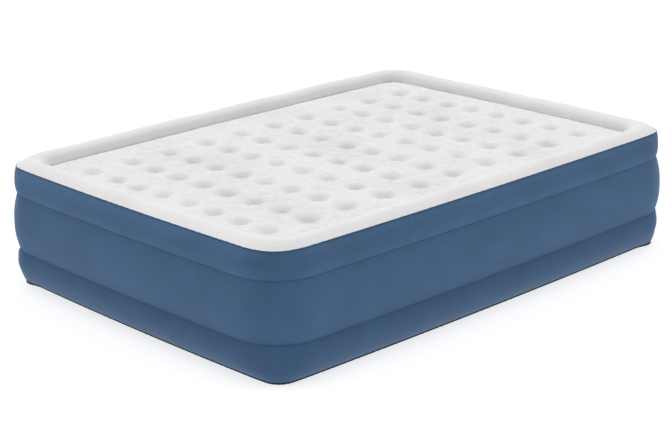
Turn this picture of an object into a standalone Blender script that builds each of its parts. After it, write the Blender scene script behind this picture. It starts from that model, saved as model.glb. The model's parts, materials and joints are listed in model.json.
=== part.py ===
"""Raised queen-size air bed: flocked skin with a comfort rim, coil-beam core and a built-in pump.

The row frame has +X along the bed towards its head end, +Y across it and +Z up. The origin is on the
floor under the middle of the bed. The pump sits in the head-end wall, and its parts are modelled in
the pump's own frame: x along the wall, y up, and z out of the wall.
"""
import math

import bmesh
import bpy
from mathutils import Matrix, Vector
from mathutils.geometry import delaunay_2d_cdt

# Envelope, in metres
BED_LENGTH = 2.03
BED_WIDTH = 1.52
BED_HEIGHT = 0.46
CORNER_RADIUS = 0.19
TIGHT_RADIUS = 0.10  # the corner radius that a full corner fill comes to
SIDE_BOW = 0.0155  # how much further in a wall stands at its ends than at its middle
FLOOR_CORNER_FILL = 0.038  # how much fuller the floor edge is at the corners than along the sides
TOP_CORNER_FILL = 0.018  # the same for the top edge
SKIN = 0.0012  # flocked sheet
LINER = 0.0005  # plain inner sheet
LOWER_WAIST_Z = 0.142
UPPER_WAIST_Z = 0.345
WALL_TOP_Z = 0.435
SLEEP_Z = 0.42
BOTTOM_INSET = 0.070
LOWER_WAIST_INSET = 0.015
UPPER_WAIST_INSET = 0.020
WALL_TOP_INSET = 0.040
RIM_FOOT_INSET = 0.124
LOWER_BULGE = 0.038
MIDDLE_BULGE = 0.0175
UPPER_BULGE = 0.015
WELD_RADIUS = 0.0011
WAIST_GAP = 0.0007  # between a waist sheet's middle and the edge of a band
CORNER_STEPS = 5

# Coil-beam core
COIL_ROWS = 10
COILS_IN_ROW = 8
ROW_PITCH = 0.1695
COIL_PITCH = 0.133
COIL_RADIUS = 0.034
COIL_SIDES = 6
DIMPLE_RADIUS = 0.038
DIMPLE_FLOOR_RADIUS = 0.017
DIMPLE_DEPTH = 0.022
DIMPLE_SIDES = 8
BEAM_COUNT = 2
BEAM_PITCH = 0.52
BEAM_LENGTH = 1.64

# Pump
PANEL_X = 0.998  # flat part of the wall round the pump
PUMP_X = 1.000  # outer face of the fascia
PUMP_Y = 0.40
PUMP_Z = 0.244
FASCIA = (0.212, 0.152)
FASCIA_THICK = 0.003
LIP = (0.226, 0.162)
TUB_MOUTH = (0.186, 0.126)
TUB_WALL = 0.003
TUB_DEPTH = 0.130
LIP_FRONT = -0.0036
LIP_THICK = 0.0025
FAN_AXIS = (-0.043, 0.0)
GRILLE_RADIUS = 0.0455
PORT_RADIUS = 0.022
TRAY_CENTRE = (0.050, -0.031)
DOOR_OPENING = (0.080, 0.058)
DOOR_PIN_Y = TRAY_CENTRE[1] + DOOR_OPENING[1] / 2 - 0.0029
DOOR_PIN_OUT = -0.0022
ROCKER_CENTRE = (0.024, 0.040)
BUTTONS = {"plush": 0.050, "medium": 0.067, "firm": 0.084}
BUTTON_Y = 0.036
BUTTON_RADIUS = 0.006
LENS_CENTRE = (0.067, 0.053)
SCREW_SPOTS = ((-0.0995, -0.0695), (0.0995, -0.0695), (0.0995, 0.0695), (-0.0995, 0.0695))
GAP = 0.0004

for old in list(bpy.data.objects):
    bpy.data.objects.remove(old)

bed = bpy.data.collections.new("air_mattress")
helpers = bpy.data.collections.new("cutters")
bpy.context.scene.collection.children.link(bed)
bpy.context.scene.collection.children.link(helpers)


# ---------------------------------------------------------------- materials

def material(name, colour, roughness, metallic=0.0):
    made = bpy.data.materials.new(name)
    made.use_nodes = True
    shader = made.node_tree.nodes["Principled BSDF"]
    shader.inputs["Base Color"].default_value = (*colour, 1.0)
    shader.inputs["Roughness"].default_value = roughness
    shader.inputs["Metallic"].default_value = metallic
    return made


WHITE_FLOCK = material("white_flock", (0.85, 0.85, 0.85), 0.95)
BLUE_FLOCK = material("blue_flock", (0.062, 0.122, 0.209), 0.95)
NAVY_PVC = material("navy_pvc", (0.03, 0.055, 0.10), 0.55)
CLEAR_PVC = material("inner_pvc", (0.70, 0.72, 0.74), 0.40)
HOUSING = material("housing_plastic", (0.045, 0.048, 0.055), 0.45)
FASCIA_GREY = material("fascia_plastic", (0.10, 0.11, 0.125), 0.38)
KNOB = material("knob_plastic", (0.62, 0.64, 0.67), 0.35)
LENS = material("lens_plastic", (0.25, 0.55, 0.85), 0.15)
RUBBER = material("black_rubber", (0.02, 0.02, 0.02), 0.8)
STEEL = material("steel", (0.55, 0.56, 0.58), 0.28, 1.0)
MOTOR_STEEL = material("motor_steel", (0.40, 0.41, 0.43), 0.35, 1.0)
BOARD_GREEN = material("circuit_board", (0.02, 0.16, 0.07), 0.5)
COPPER = material("copper_coil", (0.72, 0.30, 0.15), 0.35, 1.0)


# ---------------------------------------------------------------- general tools

def add_object(name, data, look, parent=None, at=(0, 0, 0), collection=bed):
    made = bpy.data.objects.new(name, data)
    collection.objects.link(made)
    made.parent = parent
    made.location = at
    if look:
        data.materials.append(look)
    return made


def mesh_of(bm, name):
    mesh = bpy.data.meshes.new(name)
    bmesh.ops.recalc_face_normals(bm, faces=bm.faces)
    bm.to_mesh(mesh)
    bm.free()
    return mesh


def smooth(made, degrees=40):
    """Round pieces are shaded smooth, with their real edges kept sharp."""
    made.data.shade_smooth()
    made.data.set_sharp_from_angle(angle=math.radians(degrees))
    return made


def box(name, size, look=None, parent=None, at=(0, 0, 0), collection=bed):
    bm = bmesh.new()
    bmesh.ops.create_cube(bm, size=1.0)
    bmesh.ops.scale(bm, vec=size, verts=bm.verts)
    return add_object(name, mesh_of(bm, name), look, parent, at, collection)


def rod(name, radius, length, look=None, parent=None, at=(0, 0, 0), sides=16, axis="Z", collection=bed):
    """A cylinder centred on its location, along the given axis of its parent."""
    bm = bmesh.new()
    bmesh.ops.create_cone(
        bm, cap_ends=True, segments=sides, radius1=radius, radius2=radius, depth=length
    )
    made = add_object(name, mesh_of(bm, name), look, parent, at, collection)
    made.rotation_euler = {"X": (0, math.pi / 2, 0), "Y": (math.pi / 2, 0, 0), "Z": (0, 0, 0)}[axis]
    return smooth(made)


def turned(name, profile, look, parent, at=(0, 0, 0), steps=24, closed=True):
    """A turned shape: (radius, height) points, down the outer side, screwed about the Z axis."""
    mesh = bpy.data.meshes.new(name)
    points = [(radius, 0, height) for radius, height in profile]
    count = len(points)
    edges = [(i, i + 1) for i in range(count - 1)] + ([(count - 1, 0)] if closed else [])
    mesh.from_pydata(points, edges, [])
    made = add_object(name, mesh, look, parent, at)
    screw = made.modifiers.new("turn", "SCREW")
    screw.steps = steps
    screw.render_steps = steps
    screw.use_merge_vertices = True
    screw.merge_threshold = 0.00005
    screw.use_smooth_shade = True
    return made


def rounded_outline(width, height, radius, steps=4):
    """The corners of a rounded rectangle round the origin, anticlockwise."""
    points = []
    for turn in range(4):
        sign_x = 1 if turn in (0, 3) else -1
        sign_y = 1 if turn in (0, 1) else -1
        centre = (sign_x * (width / 2 - radius), sign_y * (height / 2 - radius))
        for step in range(steps + 1):
            angle = math.pi / 2 * (turn + step / steps)
            points.append(
                (centre[0] + radius * math.cos(angle), centre[1] + radius * math.sin(angle))
            )
    return points


def plate(name, outline, low, high, look=None, parent=None, at=(0, 0, 0), collection=bed):
    """A flat outline extruded from height low to height high."""
    bm = bmesh.new()
    face = bm.faces.new([bm.verts.new((x, y, low)) for x, y in outline])
    grown = bmesh.ops.extrude_face_region(bm, geom=[face])["geom"]
    moved = [item for item in grown if isinstance(item, bmesh.types.BMVert)]
    bmesh.ops.translate(bm, vec=(0, 0, high - low), verts=moved)
    return add_object(name, mesh_of(bm, name), look, parent, at, collection)


def joined(name, parts):
    """Several cutters as one object, each of them a closed body."""
    bm = bmesh.new()
    for part in parts:
        part.data.transform(part.matrix_basis)
        bm.from_mesh(part.data)
        parent = part.parent
        bpy.data.objects.remove(part)
    return add_object(name, mesh_of(bm, name), None, parent, collection=helpers)


def change(made, operation, other):
    """A Boolean with another object, which then only guides it."""
    if other.name in bed.objects:
        bed.objects.unlink(other)
        helpers.objects.link(other)
    other.hide_render = True
    other.display_type = "WIRE"
    boolean = made.modifiers.new(operation.lower(), "BOOLEAN")
    boolean.operation = operation
    boolean.object = other
    return made


def cut(made, cutter):
    return change(made, "DIFFERENCE", cutter)


def fuse(made, addition):
    return change(made, "UNION", addition)


def cut_box(made, name, size, at, parent=None):
    return cut(made, box(name, size, None, parent, at, helpers))


def cut_rod(made, name, radius, length, at, parent=None, sides=16, axis="Z"):
    return cut(made, rod(name, radius, length, None, parent, at, sides, axis, helpers))


# ---------------------------------------------------------------- the bed's outline

def path_stations():
    """(point, outward normal) round the bed's widest outline, anticlockwise from the head end.

    The head end has more stations than the others, because its wall is flat round the pump."""
    half_x, half_y = BED_LENGTH / 2, BED_WIDTH / 2
    straight_x, straight_y = half_x - CORNER_RADIUS, half_y - CORNER_RADIUS
    head_stations = (-0.28, 0.0, 0.25, 0.275, 0.525, 0.55)
    stations = [(Vector((half_x, y)), Vector((1, 0))) for y in head_stations]

    def corner(centre, start):
        for step in range(CORNER_STEPS + 1):
            angle = start + math.pi / 2 * step / CORNER_STEPS
            normal = Vector((math.cos(angle), math.sin(angle)))
            stations.append((Vector(centre) + normal * CORNER_RADIUS, normal))

    corner((straight_x, straight_y), 0)
    stations.append((Vector((0, half_y)), Vector((0, 1))))
    corner((-straight_x, straight_y), math.pi / 2)
    stations.append((Vector((-half_x, 0)), Vector((-1, 0))))
    corner((-straight_x, -straight_y), math.pi)
    stations.append((Vector((0, -half_y)), Vector((0, -1))))
    corner((straight_x, -straight_y), 1.5 * math.pi)
    return stations


STATIONS = path_stations()


def corner_share(normal):
    """How much of its corner's fill a station takes: 1 on the diagonal, 0 along a side."""
    cut = CORNER_RADIUS - TIGHT_RADIUS
    far, near = sorted((abs(normal.x), abs(normal.y)), reverse=True)
    reach = CORNER_RADIUS / far
    if near * reach > cut:
        reach = cut * (far + near) + math.sqrt(TIGHT_RADIUS**2 - (cut * (far - near)) ** 2)
    return (reach - CORNER_RADIUS) / (cut * (math.sqrt(2) - 1))


def outline_at(inset, corner_fill=0.0):
    """The bed's outline moved in by inset, or by corner_fill less at a corner, with its walls bowed."""
    points = []
    for point, normal in STATIONS:
        along_x = (point.x / (BED_LENGTH / 2)) ** 2 * normal.y**2
        along_y = (point.y / (BED_WIDTH / 2)) ** 2 * normal.x**2
        filled = corner_fill * corner_share(normal)
        points.append(point - normal * (inset - filled + SIDE_BOW * (along_x + along_y)))
    return points


def panel_share(point):
    """1 where the wall is flat for the pump, 0 away from it, by the station's place along the head end."""
    if point.x < BED_LENGTH / 2 - 1e-6:
        return 0.0
    return 1.0 if abs(point.y - PUMP_Y) < 0.13 else 0.0


def loft(name, rings, look):
    """A closed band of skin through rings of points, one round the bed above another."""
    bm = bmesh.new()
    loops = [[bm.verts.new(point) for point in ring] for ring in rings]
    count = len(STATIONS)
    for low, high in zip(loops, loops[1:]):
        for i in range(count):
            after = (i + 1) % count
            bm.faces.new((low[i], low[after], high[after], high[i]))
    mesh = bpy.data.meshes.new(name)
    bm.to_mesh(mesh)
    bm.free()
    made = add_object(name, mesh, look)
    skin = made.modifiers.new("skin", "SOLIDIFY")
    skin.thickness = SKIN
    skin.offset = -1
    return smooth(made, 60)


def floor_fill(share):
    """Corner fill of the lower band, which also bulges less there."""
    return FLOOR_CORNER_FILL * (1 - share) * (1 - 2.4 * share)


def top_fill(share):
    """Corner fill of the upper band, which also bulges less there."""
    return TOP_CORNER_FILL * share * (1 - 1.33 * (1 - share))


def no_fill(share):
    return 0.0


def band_rings(low, high, bulge, shares, fill=no_fill, flat=False):
    """Rings of one bulging band between two (inset, height) edges, at shares of its height."""
    rings = []
    for share in shares:
        inset = low[0] + (high[0] - low[0]) * share - bulge * 4 * share * (1 - share)
        height = low[1] + (high[1] - low[1]) * share
        ring = [(p.x, p.y, height) for p in outline_at(inset, fill(share))]
        if flat and 0 < share < 1:
            ring = [
                (p[0] + (PANEL_X - p[0]) * panel_share(station[0]), p[1], p[2])
                for p, station in zip(ring, STATIONS)
            ]
        rings.append(ring)
    return rings


def sheet(name, inset, low, high, look, corner_fill=0.0):
    """A flat sheet that fills the bed's outline."""
    return plate(name, [tuple(p) for p in outline_at(inset, corner_fill)], low, high, look)


def weld_bead(name, inset, height, look, corner_fill=0.0):
    """A thin welded edge that runs right round the bed."""
    curve = bpy.data.curves.new(name, "CURVE")
    curve.dimensions = "3D"
    curve.bevel_depth = WELD_RADIUS
    curve.bevel_resolution = 0
    spline = curve.splines.new("POLY")
    points = outline_at(inset, corner_fill)
    spline.points.add(len(points) - 1)
    for spot, point in zip(spline.points, points):
        spot.co = (point.x, point.y, height, 1)
    spline.use_cyclic_u = True
    return add_object(name, curve, look)


# ---------------------------------------------------------------- skin

def make_wall_bands():
    """The bands of the side wall. Each stops short of the waist sheet that is welded between them."""
    edges = (
        (BOTTOM_INSET - 0.002, 0.0028),
        (LOWER_WAIST_INSET, LOWER_WAIST_Z),
        (UPPER_WAIST_INSET, UPPER_WAIST_Z),
        (WALL_TOP_INSET, WALL_TOP_Z - 0.0016),
    )
    (foot_in, foot), (lower_in, lower), (upper_in, upper), top = edges
    shares = (0, 0.14, 0.32, 0.56, 0.8, 1)
    rings = band_rings((foot_in, foot), (lower_in, lower - WAIST_GAP), LOWER_BULGE, shares, floor_fill)
    loft("lower_wall_band", rings, BLUE_FLOCK)

    shares = (0, 0.09, 0.3, 0.5, 0.7, 0.91, 1)
    ends = ((lower_in, lower + WAIST_GAP), (upper_in, upper - WAIST_GAP))
    middle = loft("middle_wall_band", band_rings(*ends, MIDDLE_BULGE, shares, flat=True), BLUE_FLOCK)
    hole = (0.06, FASCIA[0] + 0.0016, FASCIA[1] + 0.0016)
    cut_box(middle, "wall_hole", hole, (PANEL_X, PUMP_Y, PUMP_Z))

    rings = band_rings((upper_in, upper + WAIST_GAP), top, UPPER_BULGE, (0, 0.25, 0.5, 0.75, 1), top_fill)
    loft("upper_wall_band", rings, BLUE_FLOCK)


def make_comfort_rim():
    middle = (WALL_TOP_INSET + RIM_FOOT_INSET) / 2
    half = (RIM_FOOT_INSET - WALL_TOP_INSET) / 2
    outer_foot, inner_foot = WALL_TOP_Z + 0.0016, SLEEP_Z + 0.0014
    rings = []
    steps = 8
    for step in range(steps + 1):
        angle = math.pi * step / steps
        foot = outer_foot + (inner_foot - outer_foot) * step / steps
        height = foot + (BED_HEIGHT - foot) * math.sin(angle)
        fill = TOP_CORNER_FILL * (1 + math.cos(angle)) / 2
        outline = outline_at(middle - half * math.cos(angle), fill)
        rings.append([(p.x, p.y, height) for p in outline])
    return loft("comfort_rim", rings, WHITE_FLOCK)


def coil_places():
    """The middles of the coils: places along the bed, one for each row, and across it, one for each coil."""
    along = [(row - (COIL_ROWS - 1) / 2) * ROW_PITCH for row in range(COIL_ROWS)]
    across = [(coil - (COILS_IN_ROW - 1) / 2) * COIL_PITCH for coil in range(COILS_IN_ROW)]
    return along, across


def make_sleep_surface():
    """The flat top sheet, drawn down into a dimple over each coil."""
    points = outline_at(RIM_FOOT_INSET + 0.0022)
    heights = [SLEEP_Z] * len(points)
    edge = [list(range(len(points)))]
    along, across = coil_places()
    for centre in (Vector((x, y)) for x in along for y in across):
        for radius, depth in ((DIMPLE_RADIUS, 0.0), (DIMPLE_FLOOR_RADIUS, DIMPLE_DEPTH)):
            for side in range(DIMPLE_SIDES):
                angle = 2 * math.pi * (side + 0.5) / DIMPLE_SIDES
                points.append(centre + radius * Vector((math.cos(angle), math.sin(angle))))
                heights.append(SLEEP_Z - depth)
    spots, _, faces, sources, _, _ = delaunay_2d_cdt(points, [], edge, 1, 1e-6)
    mesh = bpy.data.meshes.new("sleep_surface")
    corners = [(spot.x, spot.y, heights[source[0]]) for spot, source in zip(spots, sources)]
    mesh.from_pydata(corners, [], faces)
    made = add_object("sleep_surface", mesh, WHITE_FLOCK)
    skin = made.modifiers.new("skin", "SOLIDIFY")
    skin.thickness = SKIN
    skin.offset = -1
    return smooth(made, 60)


def make_skin():
    make_wall_bands()
    make_comfort_rim()
    make_sleep_surface()
    sheet("bottom_sheet", BOTTOM_INSET + 0.0022, 0.0, SKIN, NAVY_PVC, FLOOR_CORNER_FILL)
    weld_bead("top_edge_weld", WALL_TOP_INSET + 0.0006, WALL_TOP_Z, WHITE_FLOCK, TOP_CORNER_FILL)
    weld_bead("rim_foot_weld", RIM_FOOT_INSET + 0.0004, SLEEP_Z - 0.0008, WHITE_FLOCK)
    weld_bead(
        "bottom_edge_weld", BOTTOM_INSET + 0.0004, WELD_RADIUS + 0.0002, NAVY_PVC, FLOOR_CORNER_FILL
    )


# ---------------------------------------------------------------- core

def vent_cutter(name, spots, radius, height):
    holes = [
        rod(f"{name}_{i}", radius, 0.01, None, None, (x, y, height), 8, "Z", helpers)
        for i, (x, y) in enumerate(spots)
    ]
    return joined(name, holes)


def make_waist_sheets():
    """Two inner sheets that draw the wall in at the waists, with vents that join the air layers."""
    spots = [(x, y) for x in (-0.67, 0.0, 0.67) for y in (-0.52, 0.52)]
    for name, inset, height in (
        ("upper_waist_sheet", UPPER_WAIST_INSET, UPPER_WAIST_Z),
        ("lower_waist_sheet", LOWER_WAIST_INSET, LOWER_WAIST_Z),
    ):
        made = sheet(name, inset, height - LINER / 2, height + LINER / 2, CLEAR_PVC)
        cut(made, vent_cutter(name + "_vents", spots, 0.025, height))


def coil_row_outline():
    """The outer outline of a row of tubes joined by webs, along X, anticlockwise from its right end."""
    half_web = LINER
    flat = COIL_RADIUS * math.cos(math.pi / COIL_SIDES)
    centres = coil_places()[1]
    spread = [math.pi / COIL_SIDES * (2 * k + 1) for k in range(COIL_SIDES // 2)]
    upper = []
    for number, centre in enumerate(reversed(centres)):
        if number:
            upper.append((centre + flat, half_web))
        upper += [
            (centre + COIL_RADIUS * math.cos(a), COIL_RADIUS * math.sin(a)) for a in spread
        ]
        if number < COILS_IN_ROW - 1:
            upper.append((centre - flat, half_web))
    lower = [(-x, -y) for x, y in upper]
    return centres, upper + lower


def make_coil_rows():
    """Rows of upright tubes, welded under the sleep surface's dimples and to the upper waist sheet."""
    low = UPPER_WAIST_Z + LINER / 2 + GAP
    high = SLEEP_Z - DIMPLE_DEPTH - SKIN - GAP
    centres, outline = coil_row_outline()
    inner = COIL_RADIUS - 1.6 * LINER
    for row, x in enumerate(coil_places()[0]):
        name = f"coil_beam_row_{row + 1:02d}"
        curve = bpy.data.curves.new(name, "CURVE")
        curve.dimensions = "2D"
        curve.fill_mode = "BOTH"
        curve.extrude = (high - low) / 2
        bores = [
            [
                (
                    centre + inner * math.cos(math.pi / COIL_SIDES * (2 * k + 1)),
                    inner * math.sin(math.pi / COIL_SIDES * (2 * k + 1)),
                )
                for k in range(COIL_SIDES)
            ]
            for centre in centres
        ]
        for loop in [outline, *bores]:
            spline = curve.splines.new("POLY")
            spline.points.add(len(loop) - 1)
            for spot, (u, v) in zip(spline.points, loop):
                spot.co = (u, v, 0, 1)
            spline.use_cyclic_u = True
        made = add_object(name, curve, CLEAR_PVC, at=(x, 0, (low + high) / 2))
        made.rotation_euler.z = math.pi / 2


def make_beams():
    """Upright strips under the coil beams, which hold the bed's lower layers flat."""
    layers = {
        "middle_beam": (LOWER_WAIST_Z + LINER / 2 + GAP, UPPER_WAIST_Z - LINER / 2 - GAP),
        "base_beam": (SKIN + GAP, LOWER_WAIST_Z - LINER / 2 - GAP),
    }
    for layer, (low, high) in layers.items():
        for number in range(BEAM_COUNT):
            name = f"{layer}_{number + 1}"
            y = (number - (BEAM_COUNT - 1) / 2) * BEAM_PITCH
            made = box(name, (BEAM_LENGTH, LINER, high - low), CLEAR_PVC, None, (0, y, (low + high) / 2))
            vents = [
                rod(f"{name}_vent_{i}", 0.025, 0.02, None, None, (x, y, (low + high) / 2), 8, "Y", helpers)
                for i, x in enumerate((-0.5, 0.0, 0.5))
            ]
            for vent in vents:
                vent.data.transform(vent.rotation_euler.to_matrix().to_4x4())
                vent.rotation_euler = (0, 0, 0)
            cut(made, joined(name + "_vents", vents))


# ---------------------------------------------------------------- pump housing

pump = bpy.data.objects.new("pump_frame", None)
bed.objects.link(pump)
pump.location = (PUMP_X, PUMP_Y, PUMP_Z)
pump.rotation_euler = (math.pi / 2, 0, math.pi / 2)


def make_tub():
    """The rigid tub in the wall, with a lip that the skin is welded to and a port in its back."""
    lip_back = LIP_FRONT - LIP_THICK
    tub = plate("pump_tub", rounded_outline(*LIP, 0.012), lip_back, LIP_FRONT, HOUSING, pump)
    outer = rounded_outline(TUB_MOUTH[0] + 2 * TUB_WALL, TUB_MOUTH[1] + 2 * TUB_WALL, 0.006)
    fuse(tub, plate("tub_shell", outer, -TUB_DEPTH, lip_back + 0.001, None, pump, collection=helpers))
    inner = rounded_outline(*TUB_MOUTH, 0.003)
    cut(tub, plate("tub_hollow", inner, -TUB_DEPTH + TUB_WALL, 0.01, None, pump, collection=helpers))
    cut_rod(tub, "tub_port", PORT_RADIUS, 0.02, (*FAN_AXIS, -TUB_DEPTH), pump, 20)
    cut_rod(tub, "tub_hose_hole", 0.0032, 0.02, (0.055, 0.040, -TUB_DEPTH), pump, 8)
    for number, spot in enumerate(SCREW_SPOTS):
        cut_rod(tub, f"tub_screw_hole_{number}", 0.0019, 0.02, (*spot, LIP_FRONT), pump, 8)
    return tub


def make_collar():
    """The soft ring behind the lip that is welded to the inside of the wall."""
    low = LIP_FRONT - LIP_THICK - GAP - 0.0012
    collar = plate("pump_collar", rounded_outline(0.240, 0.164, 0.014), low, low + 0.0012, NAVY_PVC, pump)
    inner = rounded_outline(TUB_MOUTH[0] + 0.008, TUB_MOUTH[1] + 0.008, 0.008)
    cut(collar, plate("collar_hole", inner, -0.02, 0.01, None, pump, collection=helpers))
    for number, spot in enumerate(SCREW_SPOTS):
        cut_rod(collar, f"collar_screw_hole_{number}", 0.0035, 0.02, (*spot, low), pump, 8)
    return collar


def make_fascia():
    fascia = plate("pump_fascia", rounded_outline(*FASCIA, 0.012, 5), -FASCIA_THICK, 0, FASCIA_GREY, pump)
    for side in (-1, 1):
        x = TRAY_CENTRE[0] + side * (DOOR_OPENING[0] / 2 - 0.0008)
        lug = box(f"door_lug_{side + 1}", (0.0056, 0.0064, 0.0046), None, pump,
                  (x, DOOR_PIN_Y, -0.0024), helpers)
        trimmed_opening(fascia, side, lug)
    cut_rod(fascia, "door_pin_hole", 0.00088, DOOR_OPENING[0] + 0.0006,
            (TRAY_CENTRE[0], DOOR_PIN_Y, DOOR_PIN_OUT), pump, 10, "X")
    cut_rod(fascia, "grille_hole", GRILLE_RADIUS + 0.0005, 0.02, (*FAN_AXIS, 0), pump, 32)
    cut_box(fascia, "rocker_hole", (0.0158, 0.0218, 0.02), (*ROCKER_CENTRE, 0), pump)
    for name, x in BUTTONS.items():
        cut_rod(fascia, f"button_hole_{name}", BUTTON_RADIUS + 0.0004, 0.02, (x, BUTTON_Y, 0), pump, 16)
    lens_hole = plate("lens_hole", rounded_outline(0.0366, 0.0046, 0.0022, 3), -0.01, 0.01, None, pump,
                      (*LENS_CENTRE, 0), helpers)
    cut(fascia, lens_hole)
    for number, spot in enumerate(SCREW_SPOTS):
        cut_rod(fascia, f"fascia_screw_hole_{number}", 0.0019, 0.02, (*spot, 0), pump, 8)
    return fascia


def trimmed_opening(fascia, side, lug):
    """Opens half of the cord compartment's doorway, then adds that side's hinge lug."""
    half = DOOR_OPENING[0] / 2
    cut_box(fascia, f"doorway_{side + 1}", (half + 0.002, DOOR_OPENING[1], 0.02),
            (TRAY_CENTRE[0] + side * (half / 2 - 0.001), TRAY_CENTRE[1], 0), pump)
    fuse(fascia, lug)


def make_grille():
    """The round intake grille with slots between its rim and the dial's boss."""
    profile = ((GRILLE_RADIUS, -0.0002), (GRILLE_RADIUS, -0.0046), (0.0056, -0.0046), (0.0056, -0.0002))
    grille = turned("intake_grille", profile, FASCIA_GREY, pump, (*FAN_AXIS, 0), 32)
    slots = []
    count = 12
    for number in range(count):
        angle = 2 * math.pi * number / count
        slot = box(f"slot_{number}", (0.0125, 0.0042, 0.02), None, pump, (0, 0, 0), helpers)
        slot.rotation_euler.z = angle
        slot.location = (FAN_AXIS[0] + 0.0355 * math.cos(angle), FAN_AXIS[1] + 0.0355 * math.sin(angle), 0)
        slots.append(slot)
    return cut(grille, joined("grille_slots", slots))


def make_screws():
    for number, spot in enumerate(SCREW_SPOTS):
        profile = ((0.0, 0.0017), (0.0024, 0.0015), (0.0036, 0.0004), (0.0036, 0.0003),
                   (0.0014, 0.0003), (0.0014, -0.0115), (0.0, -0.0125))
        turned(f"fascia_screw_{number + 1}", profile, STEEL, pump, (*spot, 0), 10, closed=False)


# ---------------------------------------------------------------- dial and air path

def make_dial():
    """The selector dial: a round base with a grip bar, and a stem through the grille's boss."""
    profile = ((0.0, 0.0048), (0.0235, 0.0048), (0.0260, 0.0030), (0.0260, 0.0003),
               (0.0048, 0.0003), (0.0048, -0.0110), (0.0, -0.0110))
    dial = turned("control_dial", profile, KNOB, pump, (*FAN_AXIS, 0), 32, closed=False)
    bar = plate("dial_bar", rounded_outline(0.0105, 0.0440, 0.0050, 3), 0.0040, 0.0138, None, pump,
                (*FAN_AXIS, 0), helpers)
    return fuse(dial, bar)


def on_fan_circle(radius, angle, out):
    """A place in the pump's frame, on a circle round the fan's axis."""
    return (FAN_AXIS[0] + radius * math.cos(angle), FAN_AXIS[1] + radius * math.sin(angle), out)


def make_drum():
    """The changeover drum that the dial turns: its side windows swap intake and exhaust."""
    profile = ((0.0330, -0.0076), (0.0330, -0.0360), (0.0312, -0.0360), (0.0312, -0.0094),
               (0.0086, -0.0094), (0.0086, -0.0130), (0.0052, -0.0130), (0.0052, -0.0076))
    drum = turned("changeover_drum", profile, KNOB, pump, (*FAN_AXIS, 0), 24)
    windows = []
    for number in range(3):
        angle = 2 * math.pi * number / 3 + math.pi / 2
        window = box(f"window_{number}", (0.016, 0.022, 0.014), None, pump, (0, 0, 0), helpers)
        window.rotation_euler.z = angle
        window.location = on_fan_circle(0.033, angle, -0.024)
        windows.append(window)
    return cut(drum, joined("drum_windows", windows))


def make_air_path():
    """The drum's housing, which narrows to the fan's inlet, and the duct round the fan and its motor."""
    housing = ((0.0385, -0.0052), (0.0385, -0.0400), (0.0462, -0.0400), (0.0462, -0.0440),
               (0.0190, -0.0440), (0.0190, -0.0402), (0.0340, -0.0390), (0.0340, -0.0052))
    turned("drum_housing", housing, HOUSING, pump, (*FAN_AXIS, 0), 24)
    turned("air_duct", ((0.0475, -0.0446), (0.0475, -0.1264), (0.0459, -0.1264), (0.0459, -0.0446)),
           HOUSING, pump, (*FAN_AXIS, 0), 24)


def make_fan():
    """The impeller: a back plate and hub with curved blades."""
    profile = ((0.0400, -0.0655), (0.0400, -0.0675), (0.0019, -0.0675), (0.0019, -0.0520),
               (0.0065, -0.0520), (0.0080, -0.0655))
    fan = turned("impeller", profile, KNOB, pump, (*FAN_AXIS, 0), 24)
    blades = []
    count = 9
    for number in range(count):
        angle = 2 * math.pi * number / count
        blade = box(f"blade_{number}", (0.0260, 0.0012, 0.0190), None, pump, (0, 0, 0), helpers)
        blade.rotation_euler.z = angle + 0.55
        blade.location = on_fan_circle(0.0245, angle, -0.0565)
        blades.append(blade)
    fuse(fan, joined("fan_blades", blades))
    rod("motor_shaft", 0.0018, 0.069, STEEL, pump, (*FAN_AXIS, -0.0850), 12)


def make_motor():
    """The motor can, closed at the front by its bearing boss, and its three-armed bracket."""
    profile = (
        (0.0070, -0.0690), (0.0070, -0.0720), (0.0240, -0.0730), (0.0250, -0.0750), (0.0250, -0.1060),
        (0.0230, -0.1080), (0.0070, -0.1080), (0.0070, -0.1100), (0.0019, -0.1100), (0.0019, -0.0690),
    )
    turned("motor_can", profile, MOTOR_STEEL, pump, (*FAN_AXIS, 0), 24)
    ring = ((0.0110, -0.1085), (0.0110, -0.1125), (0.0074, -0.1125), (0.0074, -0.1085))
    bracket = turned("motor_bracket", ring, HOUSING, pump, (*FAN_AXIS, 0), 24)
    for number in range(3):
        angle = 2 * math.pi * number / 3 + math.pi / 2
        arm = box(f"bracket_arm_{number}", (0.0358, 0.0060, 0.0036), None, pump, (0, 0, 0), helpers)
        arm.rotation_euler.z = angle
        arm.location = on_fan_circle(0.0273, angle, -0.1105)
        fuse(bracket, arm)


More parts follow.
